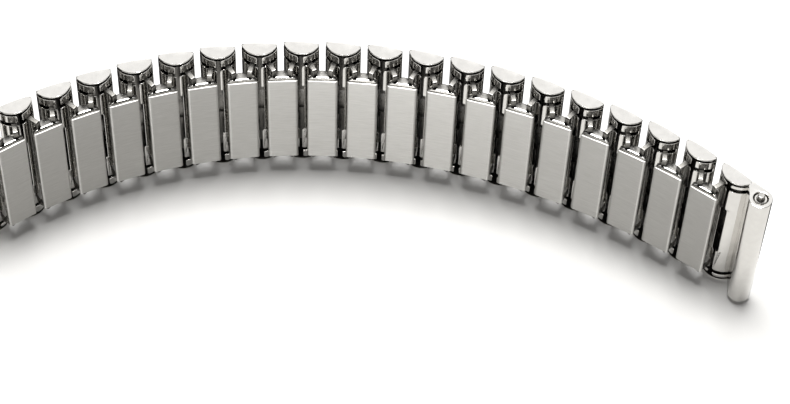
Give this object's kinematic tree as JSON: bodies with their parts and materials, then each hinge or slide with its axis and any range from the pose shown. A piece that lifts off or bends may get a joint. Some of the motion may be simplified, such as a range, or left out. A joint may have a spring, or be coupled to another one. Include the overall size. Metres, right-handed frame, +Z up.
{
  "type": "expansion watch band",
  "caption": "Stretchable steel watch band: staggered hollow links joined by U-shaped staples over leaf springs, with sprung-bar end pieces.",
  "frame": {"origin": "middle of the band's box at its foot, where the band stands on edge", "axes": "+X along the band, +Y towards the side that faces away from the wrist, +Z up across the band's width"},
  "size_m": [0.0868, 0.019, 0.0187],
  "materials": {
    "polished_steel": "mirror polished",
    "satin_steel": "satin brushed",
    "staple_steel": "bright rolled",
    "turned_steel": "turned"
  },
  "bodies": {
    "outer_link_01": {"outer_link_01": "polished_steel"},
    "outer_link_02": {"outer_link_02": "polished_steel"},
    "outer_link_03": {"outer_link_03": "polished_steel"},
    "outer_link_04": {"outer_link_04": "polished_steel"},
    "outer_link_05": {"outer_link_05": "polished_steel"},
    "outer_link_06": {"outer_link_06": "polished_steel"},
    "outer_link_07": {"outer_link_07": "polished_steel"},
    "outer_link_08": {"outer_link_08": "polished_steel"},
    "outer_link_09": {"outer_link_09": "polished_steel"},
    "outer_link_10": {"outer_link_10": "polished_steel"},
    "outer_link_11": {"outer_link_11": "polished_steel"},
    "outer_link_12": {"outer_link_12": "polished_steel"},
    "outer_link_13": {"outer_link_13": "polished_steel"},
    "outer_link_14": {"outer_link_14": "polished_steel"},
    "outer_link_15": {"outer_link_15": "polished_steel"},
    "outer_link_16": {"outer_link_16": "polished_steel"},
    "outer_link_17": {"outer_link_17": "polished_steel"},
    "outer_link_18": {"outer_link_18": "polished_steel"},
    "inner_link_01": {"inner_link_01": "satin_steel"},
    "inner_link_02": {"inner_link_02": "satin_steel"},
    "inner_link_03": {"inner_link_03": "satin_steel"},
    "inner_link_04": {"inner_link_04": "satin_steel"},
    "inner_link_05": {"inner_link_05": "satin_steel"},
    "inner_link_06": {"inner_link_06": "satin_steel"},
    "inner_link_07": {"inner_link_07": "satin_steel"},
    "inner_link_08": {"inner_link_08": "satin_steel"},
    "inner_link_09": {"inner_link_09": "satin_steel"},
    "inner_link_10": {"inner_link_10": "satin_steel"},
    "inner_link_11": {"inner_link_11": "satin_steel"},
    "inner_link_12": {"inner_link_12": "satin_steel"},
    "inner_link_13": {"inner_link_13": "satin_steel"},
    "inner_link_14": {"inner_link_14": "satin_steel"},
    "inner_link_15": {"inner_link_15": "satin_steel"},
    "inner_link_16": {"inner_link_16": "satin_steel"},
    "inner_link_17": {"inner_link_17": "satin_steel"},
    "inner_link_18": {"inner_link_18": "satin_steel"},
    "inner_link_19": {"inner_link_19": "satin_steel"},
    "staple_pair_01": {"staple_pair_01": "staple_steel"},
    "staple_pair_02": {"staple_pair_02": "staple_steel"},
    "staple_pair_03": {"staple_pair_03": "staple_steel"},
    "staple_pair_04": {"staple_pair_04": "staple_steel"},
    "staple_pair_05": {"staple_pair_05": "staple_steel"},
    "staple_pair_06": {"staple_pair_06": "staple_steel"},
    "staple_pair_07": {"staple_pair_07": "staple_steel"},
    "staple_pair_08": {"staple_pair_08": "staple_steel"},
    "staple_pair_09": {"staple_pair_09": "staple_steel"},
    "staple_pair_10": {"staple_pair_10": "staple_steel"},
    "staple_pair_11": {"staple_pair_11": "staple_steel"},
    "staple_pair_12": {"staple_pair_12": "staple_steel"},
    "staple_pair_13": {"staple_pair_13": "staple_steel"},
    "staple_pair_14": {"staple_pair_14": "staple_steel"},
    "staple_pair_15": {"staple_pair_15": "staple_steel"},
    "staple_pair_16": {"staple_pair_16": "staple_steel"},
    "staple_pair_17": {"staple_pair_17": "staple_steel"},
    "end_piece_left": {"end_piece_left": "polished_steel"},
    "bar_tip_left_upper": {"bar_tip_left_upper": "turned_steel"},
    "bar_tip_left_lower": {"bar_tip_left_lower": "turned_steel"},
    "end_piece_right": {"end_piece_right": "polished_steel"},
    "bar_tip_right_upper": {"bar_tip_right_upper": "turned_steel"},
    "bar_tip_right_lower": {"bar_tip_right_lower": "turned_steel"}
  },
  "joints": [
    {"name": "stretch_09", "type": "slide", "parent": "inner_link_10", "child": "outer_link_10", "axis": [0.8417, -0.54, 0], "range_m": [0, 0.00114], "stiffness_N_per_m": 400},
    {"name": "staple_turn_09", "type": "hinge", "parent": "inner_link_10", "child": "staple_pair_09", "pos_m": [0.00053, 0.00678, 0.00935], "axis": [0, 0, -1], "range_deg": [0, 32]},
    {"name": "flex_right_01", "type": "hinge", "parent": "outer_link_10", "child": "inner_link_11", "pos_m": [0.00315, 0.00669, 0.00935], "axis": [0, 0, -1], "range_deg": [-6, 9]},
    {"name": "stretch_10", "type": "slide", "parent": "inner_link_11", "child": "outer_link_11", "axis": [0.8038, -0.5949, 0], "range_m": [0, 0.00114]},
    {"name": "staple_turn_10", "type": "hinge", "parent": "inner_link_11", "child": "staple_pair_10", "pos_m": [0.00487, 0.00657, 0.00935], "axis": [0, 0, -1], "range_deg": [0, 32]},
    {"name": "flex_right_02", "type": "hinge", "parent": "outer_link_11", "child": "inner_link_12", "pos_m": [0.00747, 0.0063, 0.00935], "axis": [0, 0, -1], "range_deg": [-6, 9]},
    {"name": "stretch_11", "type": "slide", "parent": "inner_link_12", "child": "outer_link_12", "axis": [0.7635, -0.6458, 0], "range_m": [0, 0.00114]},
    {"name": "staple_turn_11", "type": "hinge", "parent": "inner_link_12", "child": "staple_pair_11", "pos_m": [0.00917, 0.00608, 0.00935], "axis": [0, 0, -1], "range_deg": [0, 32]},
    {"name": "flex_right_03", "type": "hinge", "parent": "outer_link_12", "child": "inner_link_13", "pos_m": [0.01176, 0.00564, 0.00935], "axis": [0, 0, -1], "range_deg": [-6, 9]},
    {"name": "stretch_12", "type": "slide", "parent": "inner_link_13", "child": "outer_link_13", "axis": [0.7212, -0.6927, 0], "range_m": [0, 0.00114]},
    {"name": "staple_turn_12", "type": "hinge", "parent": "inner_link_13", "child": "staple_pair_12", "pos_m": [0.01344, 0.00531, 0.00935], "axis": [0, 0, -1], "range_deg": [0, 32]},
    {"name": "flex_right_04", "type": "hinge", "parent": "outer_link_13", "child": "inner_link_14", "pos_m": [0.016, 0.00471, 0.00935], "axis": [0, 0, -1], "range_deg": [-6, 9]},
    {"name": "stretch_13", "type": "slide", "parent": "inner_link_14", "child": "outer_link_14", "axis": [0.6773, -0.7357, 0], "range_m": [0, 0.00114]},
    {"name": "staple_turn_13", "type": "hinge", "parent": "inner_link_14", "child": "staple_pair_13", "pos_m": [0.01766, 0.00428, 0.00935], "axis": [0, 0, -1], "range_deg": [0, 32]},
    {"name": "flex_right_05", "type": "hinge", "parent": "outer_link_14", "child": "inner_link_15", "pos_m": [0.02017, 0.00353, 0.00935], "axis": [0, 0, -1], "range_deg": [-6, 9]},
    {"name": "stretch_14", "type": "slide", "parent": "inner_link_15", "child": "outer_link_15", "axis": [0.6323, -0.7747, 0], "range_m": [0, 0.00114]},
    {"name": "staple_turn_14", "type": "hinge", "parent": "inner_link_15", "child": "staple_pair_14", "pos_m": [0.02181, 0.00299, 0.00935], "axis": [0, 0, -1], "range_deg": [0, 32]},
    {"name": "flex_right_06", "type": "hinge", "parent": "outer_link_15", "child": "inner_link_16", "pos_m": [0.02427, 0.00209, 0.00935], "axis": [0, 0, -1], "range_deg": [-6, 9]},
    {"name": "stretch_15", "type": "slide", "parent": "inner_link_16", "child": "outer_link_16", "axis": [0.5865, -0.81, 0], "range_m": [0, 0.00114]},
    {"name": "staple_turn_15", "type": "hinge", "parent": "inner_link_16", "child": "staple_pair_15", "pos_m": [0.02587, 0.00146, 0.00935], "axis": [0, 0, -1], "range_deg": [0, 32]},
    {"name": "flex_right_07", "type": "hinge", "parent": "outer_link_16", "child": "inner_link_17", "pos_m": [0.02829, 0.00042, 0.00935], "axis": [0, 0, -1], "range_deg": [-6, 9]},
    {"name": "stretch_16", "type": "slide", "parent": "inner_link_17", "child": "outer_link_17", "axis": [0.5402, -0.8416, 0], "range_m": [0, 0.00114]},
    {"name": "staple_turn_16", "type": "hinge", "parent": "inner_link_17", "child": "staple_pair_16", "pos_m": [0.02985, -0.0003, 0.00935], "axis": [0, 0, -1], "range_deg": [0, 32]},
    {"name": "flex_right_08", "type": "hinge", "parent": "outer_link_17", "child": "inner_link_18", "pos_m": [0.0322, -0.00147, 0.00935], "axis": [0, 0, -1], "range_deg": [-6, 9]},
    {"name": "stretch_17", "type": "slide", "parent": "inner_link_18", "child": "outer_link_18", "axis": [0.4937, -0.8696, 0], "range_m": [0, 0.00114]},
    {"name": "staple_turn_17", "type": "hinge", "parent": "inner_link_18", "child": "staple_pair_17", "pos_m": [0.03372, -0.00228, 0.00935], "axis": [0, 0, -1], "range_deg": [0, 32]},
    {"name": "flex_right_09", "type": "hinge", "parent": "outer_link_18", "child": "inner_link_19", "pos_m": [0.03601, -0.00357, 0.00935], "axis": [0, 0, -1], "range_deg": [-6, 9]},
    {"name": "flex_right_10", "type": "hinge", "parent": "inner_link_19", "child": "end_piece_right", "pos_m": [0.03748, -0.00446, 0.00935], "axis": [0, 0, -1], "range_deg": [-6, 9]},
    {"name": "stretch_08", "type": "slide", "parent": "inner_link_10", "child": "outer_link_09", "axis": [-0.7628, -0.6466, 0], "range_m": [0, 0.00114]},
    {"name": "staple_turn_08", "type": "hinge", "parent": "inner_link_10", "child": "staple_pair_08", "pos_m": [-0.00119, 0.00678, 0.00935], "axis": [0, 0, 1], "range_deg": [0, 32]},
    {"name": "flex_left_01", "type": "hinge", "parent": "outer_link_09", "child": "inner_link_09", "pos_m": [-0.0038, 0.00669, 0.00935], "axis": [0, 0, 1], "range_deg": [-6, 9]},
    {"name": "stretch_07", "type": "slide", "parent": "inner_link_09", "child": "outer_link_08", "axis": [-0.7162, -0.6979, 0], "range_m": [0, 0.00114]},
    {"name": "staple_turn_07", "type": "hinge", "parent": "inner_link_09", "child": "staple_pair_07", "pos_m": [-0.00551, 0.00657, 0.00935], "axis": [0, 0, 1], "range_deg": [0, 32]},
    {"name": "flex_left_02", "type": "hinge", "parent": "outer_link_08", "child": "inner_link_08", "pos_m": [-0.00811, 0.00631, 0.00935], "axis": [0, 0, 1], "range_deg": [-6, 9]},
    {"name": "stretch_06", "type": "slide", "parent": "inner_link_08", "child": "outer_link_07", "axis": [-0.6647, -0.7471, 0], "range_m": [0, 0.00114]},
    {"name": "staple_turn_06", "type": "hinge", "parent": "inner_link_08", "child": "staple_pair_06", "pos_m": [-0.00982, 0.00607, 0.00935], "axis": [0, 0, 1], "range_deg": [0, 32]},
    {"name": "flex_left_03", "type": "hinge", "parent": "outer_link_07", "child": "inner_link_07", "pos_m": [-0.01239, 0.00562, 0.00935], "axis": [0, 0, 1], "range_deg": [-6, 9]},
    {"name": "stretch_05", "type": "slide", "parent": "inner_link_07", "child": "outer_link_06", "axis": [-0.6085, -0.7936, 0], "range_m": [0, 0.00114]},
    {"name": "staple_turn_05", "type": "hinge", "parent": "inner_link_07", "child": "staple_pair_05", "pos_m": [-0.01407, 0.00525, 0.00935], "axis": [0, 0, 1], "range_deg": [0, 32]},
    {"name": "flex_left_04", "type": "hinge", "parent": "outer_link_06", "child": "inner_link_06", "pos_m": [-0.0166, 0.00461, 0.00935], "axis": [0, 0, 1], "range_deg": [-6, 9]},
    {"name": "stretch_04", "type": "slide", "parent": "inner_link_06", "child": "outer_link_05", "axis": [-0.5475, -0.8368, 0], "range_m": [0, 0.00114]},
    {"name": "staple_turn_04", "type": "hinge", "parent": "inner_link_06", "child": "staple_pair_04", "pos_m": [-0.01825, 0.00413, 0.00935], "axis": [0, 0, 1], "range_deg": [0, 32]},
    {"name": "flex_left_05", "type": "hinge", "parent": "outer_link_05", "child": "inner_link_05", "pos_m": [-0.02072, 0.0033, 0.00935], "axis": [0, 0, 1], "range_deg": [-6, 9]},
    {"name": "stretch_03", "type": "slide", "parent": "inner_link_05", "child": "outer_link_04", "axis": [-0.482, -0.8762, 0], "range_m": [0, 0.00114]},
    {"name": "staple_turn_03", "type": "hinge", "parent": "inner_link_05", "child": "staple_pair_03", "pos_m": [-0.02233, 0.00269, 0.00935], "axis": [0, 0, 1], "range_deg": [0, 32]},
    {"name": "flex_left_06", "type": "hinge", "parent": "outer_link_04", "child": "inner_link_04", "pos_m": [-0.02473, 0.00168, 0.00935], "axis": [0, 0, 1], "range_deg": [-6, 9]},
    {"name": "stretch_02", "type": "slide", "parent": "inner_link_04", "child": "outer_link_03", "axis": [-0.4119, -0.9112, 0], "range_m": [0, 0.00114]},
    {"name": "staple_turn_02", "type": "hinge", "parent": "inner_link_04", "child": "staple_pair_02", "pos_m": [-0.02629, 0.00094, 0.00935], "axis": [0, 0, 1], "range_deg": [0, 32]},
    {"name": "flex_left_07", "type": "hinge", "parent": "outer_link_03", "child": "inner_link_03", "pos_m": [-0.0286, -0.00025, 0.00935], "axis": [0, 0, 1], "range_deg": [-6, 9]},
    {"name": "stretch_01", "type": "slide", "parent": "inner_link_03", "child": "outer_link_02", "axis": [-0.3377, -0.9412, 0], "range_m": [0, 0.00114]},
    {"name": "staple_turn_01", "type": "hinge", "parent": "inner_link_03", "child": "staple_pair_01", "pos_m": [-0.03009, -0.00111, 0.00935], "axis": [0, 0, 1], "range_deg": [0, 32]},
    {"name": "flex_left_08", "type": "hinge", "parent": "outer_link_02", "child": "inner_link_02", "pos_m": [-0.0323, -0.00249, 0.00935], "axis": [0, 0, 1], "range_deg": [-6, 9]},
    {"name": "flex_left_09", "type": "hinge", "parent": "inner_link_02", "child": "outer_link_01", "pos_m": [-0.03372, -0.00346, 0.00935], "axis": [0, 0, 1], "range_deg": [-6, 9]},
    {"name": "flex_left_10", "type": "hinge", "parent": "outer_link_01", "child": "inner_link_01", "pos_m": [-0.0358, -0.00502, 0.00935], "axis": [0, 0, 1], "range_deg": [-6, 9]},
    {"name": "flex_left_11", "type": "hinge", "parent": "inner_link_01", "child": "end_piece_left", "pos_m": [-0.03713, -0.0061, 0.00935], "axis": [0, 0, 1], "range_deg": [-6, 9]},
    {"name": "tip_left_upper_slide", "type": "slide", "parent": "end_piece_left", "child": "bar_tip_left_upper", "axis": [0, 0, -1], "range_m": [0, 0.00055], "stiffness_N_per_m": 200},
    {"name": "tip_left_lower_slide", "type": "slide", "parent": "end_piece_left", "child": "bar_tip_left_lower", "axis": [0, 0, 1], "range_m": [0, 0.00055], "stiffness_N_per_m": 200},
    {"name": "tip_right_upper_slide", "type": "slide", "parent": "end_piece_right", "child": "bar_tip_right_upper", "axis": [0, 0, -1], "range_m": [0, 0.00055], "stiffness_N_per_m": 200},
    {"name": "tip_right_lower_slide", "type": "slide", "parent": "end_piece_right", "child": "bar_tip_right_lower", "axis": [0, 0, 1], "range_m": [0, 0.00055], "stiffness_N_per_m": 200}
  ],
  "couplings": [
    {"joint": "staple_turn_09", "follows": "stretch_09", "rad_per_m": 488.67},
    {"joint": "stretch_10", "follows": "stretch_09", "ratio": 1},
    {"joint": "staple_turn_10", "follows": "stretch_09", "rad_per_m": 488.67},
    {"joint": "flex_right_02", "follows": "flex_right_01", "ratio": 1},
    {"joint": "stretch_11", "follows": "stretch_09", "ratio": 1},
    {"joint": "staple_turn_11", "follows": "stretch_09", "rad_per_m": 488.67},
    {"joint": "flex_right_03", "follows": "flex_right_01", "ratio": 1},
    {"joint": "stretch_12", "follows": "stretch_09", "ratio": 1},
    {"joint": "staple_turn_12", "follows": "stretch_09", "rad_per_m": 488.67},
    {"joint": "flex_right_04", "follows": "flex_right_01", "ratio": 1},
    {"joint": "stretch_13", "follows": "stretch_09", "ratio": 1},
    {"joint": "staple_turn_13", "follows": "stretch_09", "rad_per_m": 488.67},
    {"joint": "flex_right_05", "follows": "flex_right_01", "ratio": 1},
    {"joint": "stretch_14", "follows": "stretch_09", "ratio": 1},
    {"joint": "staple_turn_14", "follows": "stretch_09", "rad_per_m": 488.67},
    {"joint": "flex_right_06", "follows": "flex_right_01", "ratio": 1},
    {"joint": "stretch_15", "follows": "stretch_09", "ratio": 1},
    {"joint": "staple_turn_15", "follows": "stretch_09", "rad_per_m": 488.67},
    {"joint": "flex_right_07", "follows": "flex_right_01", "ratio": 1},
    {"joint": "stretch_16", "follows": "stretch_09", "ratio": 1},
    {"joint": "staple_turn_16", "follows": "stretch_09", "rad_per_m": 488.67},
    {"joint": "flex_right_08", "follows": "flex_right_01", "ratio": 1},
    {"joint": "stretch_17", "follows": "stretch_09", "ratio": 1},
    {"joint": "staple_turn_17", "follows": "stretch_09", "rad_per_m": 488.67},
    {"joint": "flex_right_09", "follows": "flex_right_01", "ratio": 1},
    {"joint": "flex_right_10", "follows": "flex_right_01", "ratio": 1},
    {"joint": "stretch_08", "follows": "stretch_09", "ratio": 1},
    {"joint": "staple_turn_08", "follows": "stretch_09", "rad_per_m": 488.67},
    {"joint": "stretch_07", "follows": "stretch_09", "ratio": 1},
    {"joint": "staple_turn_07", "follows": "stretch_09", "rad_per_m": 488.67},
    {"joint": "flex_left_02", "follows": "flex_left_01", "ratio": 1},
    {"joint": "stretch_06", "follows": "stretch_09", "ratio": 1},
    {"joint": "staple_turn_06", "follows": "stretch_09", "rad_per_m": 488.67},
    {"joint": "flex_left_03", "follows": "flex_left_01", "ratio": 1},
    {"joint": "stretch_05", "follows": "stretch_09", "ratio": 1},
    {"joint": "staple_turn_05", "follows": "stretch_09", "rad_per_m": 488.67},
    {"joint": "flex_left_04", "follows": "flex_left_01", "ratio": 1},
    {"joint": "stretch_04", "follows": "stretch_09", "ratio": 1},
    {"joint": "staple_turn_04", "follows": "stretch_09", "rad_per_m": 488.67},
    {"joint": "flex_left_05", "follows": "flex_left_01", "ratio": 1},
    {"joint": "stretch_03", "follows": "stretch_09", "ratio": 1},
    {"joint": "staple_turn_03", "follows": "stretch_09", "rad_per_m": 488.67},
    {"joint": "flex_left_06", "follows": "flex_left_01", "ratio": 1},
    {"joint": "stretch_02", "follows": "stretch_09", "ratio": 1},
    {"joint": "staple_turn_02", "follows": "stretch_09", "rad_per_m": 488.67},
    {"joint": "flex_left_07", "follows": "flex_left_01", "ratio": 1},
    {"joint": "stretch_01", "follows": "stretch_09", "ratio": 1},
    {"joint": "staple_turn_01", "follows": "stretch_09", "rad_per_m": 488.67},
    {"joint": "flex_left_08", "follows": "flex_left_01", "ratio": 1},
    {"joint": "flex_left_09", "follows": "flex_left_01", "ratio": 1},
    {"joint": "flex_left_10", "follows": "flex_left_01", "ratio": 1},
    {"joint": "flex_left_11", "follows": "flex_left_01", "ratio": 1}
  ]
}
